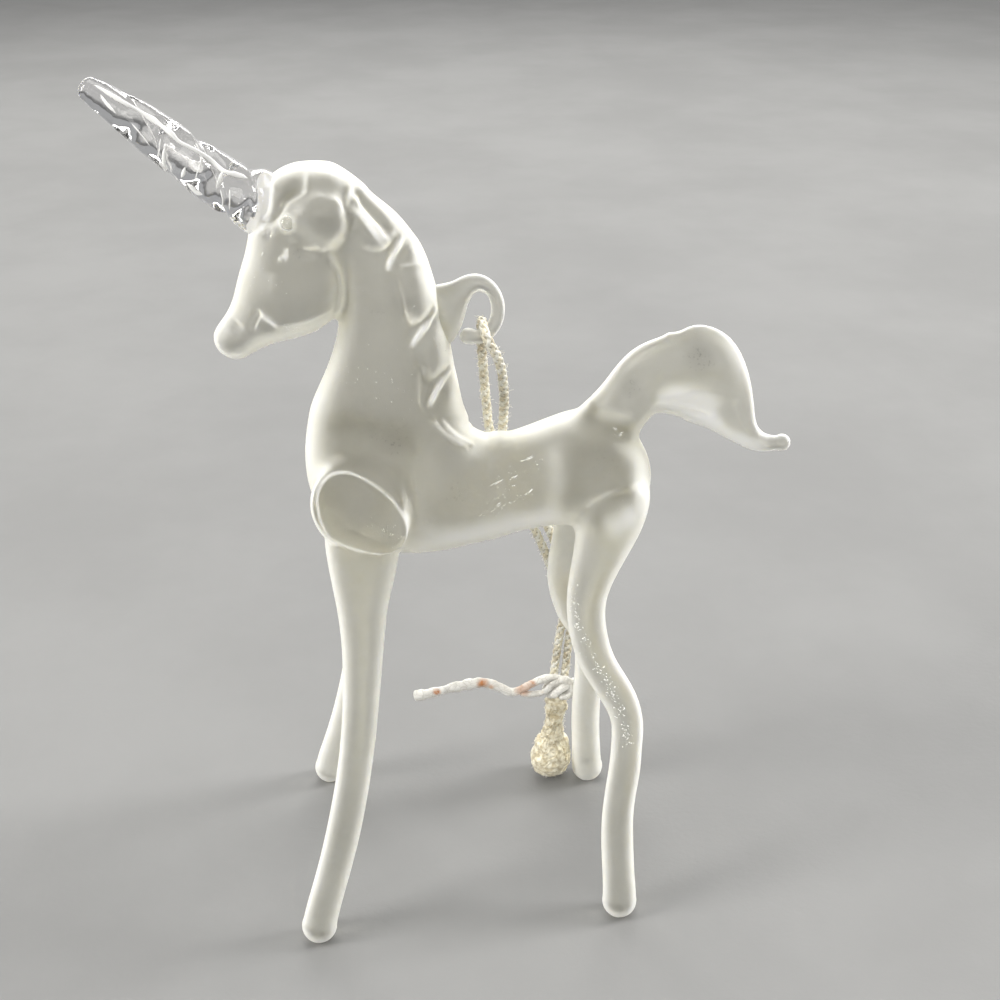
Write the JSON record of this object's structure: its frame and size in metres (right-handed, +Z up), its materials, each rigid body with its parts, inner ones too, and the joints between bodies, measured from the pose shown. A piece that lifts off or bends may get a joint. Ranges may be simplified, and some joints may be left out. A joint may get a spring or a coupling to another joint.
{
  "type": "unicorn figurine",
  "caption": "Frosted lampworked-glass unicorn on four slender legs, with a clear twisted horn, a glass hanging eye at the nape and a knotted braided cord.",
  "frame": {"origin": "on the table, under the middle of the glass figure's box, measured without the cord, its knot and its twist tie", "axes": "+Z up; the unicorn faces -X and its tail points to +X; +Y is its far flank, where the hanging cord lies"},
  "size_m": [0.0818, 0.0378, 0.1089],
  "materials": {
    "frosted_glass": "acid-etched satin, milky white",
    "clear_glass": "clear, fire-polished, twisted",
    "eye_glass": "satin glass rod",
    "braided_cord": "braided pale gold and silver thread, fuzzy",
    "frayed_knot": "frayed, knotted thread",
    "tie_paper": "white paper over wire, with rust spots"
  },
  "bodies": {
    "figurine": {"torso_and_neck": "frosted_glass", "head": "frosted_glass", "horn": "clear_glass", "mane": "frosted_glass", "ear_near": "frosted_glass", "ear_far": "frosted_glass", "eye_near": "frosted_glass", "eye_far": "frosted_glass", "foreleg_near": "frosted_glass", "foreleg_far": "frosted_glass", "hind_leg_near": "frosted_glass", "hind_leg_far": "frosted_glass", "tail": "frosted_glass", "hanging_eye": "eye_glass"},
    "hanging_loop": {"cord_loop": "braided_cord", "end_knot": "frayed_knot"},
    "tie": {"twist_tie": "tie_paper"}
  },
  "joints": [
    {"name": "loop_swing", "type": "hinge", "parent": "figurine", "child": "hanging_loop", "pos_m": [0.00224, -0.0008, 0.07897], "axis": [1, 0, 0], "range_deg": [0, 110]},
    {"name": "tie_slide", "type": "slide", "parent": "hanging_loop", "child": "tie", "axis": [0.0531, -0.0816, 0.9953], "range_m": [0, 0.01]}
  ]
}
